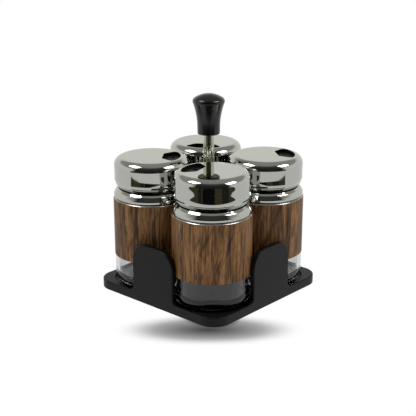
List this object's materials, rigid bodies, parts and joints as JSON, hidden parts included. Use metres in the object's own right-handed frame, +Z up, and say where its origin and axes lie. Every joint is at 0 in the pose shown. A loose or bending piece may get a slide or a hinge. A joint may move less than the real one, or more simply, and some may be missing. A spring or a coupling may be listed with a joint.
{
  "type": "spice jar set on a stand",
  "caption": "Square moulded carrier with upright side tabs, centre rod and flared knob, holding sleeved glass spice jars whose chrome caps turn over a sifter insert.",
  "frame": {"origin": "middle of the carrier's underside", "axes": "+Z up along the rod; +X and +Y square to the carrier's sides"},
  "size_m": [0.122, 0.122, 0.1472],
  "materials": {
    "black_plastic": "moulded, soft gloss",
    "insert_plastic": "moulded, satin",
    "chrome": "polished",
    "fastener_steel": "zinc plated",
    "wood_print_steel": "steel sleeve printed with wood grain, satin lacquer",
    "clear_glass": "clear, polished"
  },
  "bodies": {
    "stand": {"stand_base": "black_plastic", "centre_rod": "chrome", "rod_washer": "fastener_steel", "rod_screw": "fastener_steel", "knob": "black_plastic"},
    "jar_front": {"glass_jar_front": "clear_glass", "wood_sleeve_front": "wood_print_steel", "collar_front": "chrome"},
    "lid_front": {"sifter_insert_front": "insert_plastic"},
    "dial_front": {"cap_front": "chrome"},
    "jar_right": {"glass_jar_right": "clear_glass", "wood_sleeve_right": "wood_print_steel", "collar_right": "chrome"},
    "lid_right": {"sifter_insert_right": "insert_plastic"},
    "dial_right": {"cap_right": "chrome"},
    "jar_back": {"glass_jar_back": "clear_glass", "wood_sleeve_back": "wood_print_steel", "collar_back": "chrome"},
    "lid_back": {"sifter_insert_back": "insert_plastic"},
    "dial_back": {"cap_back": "chrome"},
    "jar_left": {"glass_jar_left": "clear_glass", "wood_sleeve_left": "wood_print_steel", "collar_left": "chrome"},
    "lid_left": {"sifter_insert_left": "insert_plastic"},
    "dial_left": {"cap_left": "chrome"}
  },
  "joints": [
    {"name": "jar_front_lift", "type": "slide", "parent": "stand", "child": "jar_front", "axis": [0, 0, 1], "range_m": [0, 0.145]},
    {"name": "lid_front_lift", "type": "slide", "parent": "jar_front", "child": "lid_front", "axis": [0, 0, 1], "range_m": [0, 0.08]},
    {"name": "cap_front_turn", "type": "hinge", "parent": "lid_front", "child": "dial_front", "pos_m": [0.0298, -0.0298, 0.101], "axis": [0, 0, 1], "continuous": true},
    {"name": "jar_right_lift", "type": "slide", "parent": "stand", "child": "jar_right", "axis": [0, 0, 1], "range_m": [0, 0.145]},
    {"name": "lid_right_lift", "type": "slide", "parent": "jar_right", "child": "lid_right", "axis": [0, 0, 1], "range_m": [0, 0.08]},
    {"name": "cap_right_turn", "type": "hinge", "parent": "lid_right", "child": "dial_right", "pos_m": [0.0298, 0.0298, 0.101], "axis": [0, 0, 1], "continuous": true},
    {"name": "jar_back_lift", "type": "slide", "parent": "stand", "child": "jar_back", "axis": [0, 0, 1], "range_m": [0, 0.145]},
    {"name": "lid_back_lift", "type": "slide", "parent": "jar_back", "child": "lid_back", "axis": [0, 0, 1], "range_m": [0, 0.08]},
    {"name": "cap_back_turn", "type": "hinge", "parent": "lid_back", "child": "dial_back", "pos_m": [-0.0298, 0.0298, 0.101], "axis": [0, 0, 1], "continuous": true},
    {"name": "jar_left_lift", "type": "slide", "parent": "stand", "child": "jar_left", "axis": [0, 0, 1], "range_m": [0, 0.145]},
    {"name": "lid_left_lift", "type": "slide", "parent": "jar_left", "child": "lid_left", "axis": [0, 0, 1], "range_m": [0, 0.08]},
    {"name": "cap_left_turn", "type": "hinge", "parent": "lid_left", "child": "dial_left", "pos_m": [-0.0298, -0.0298, 0.101], "axis": [0, 0, 1], "continuous": true}
  ]
}
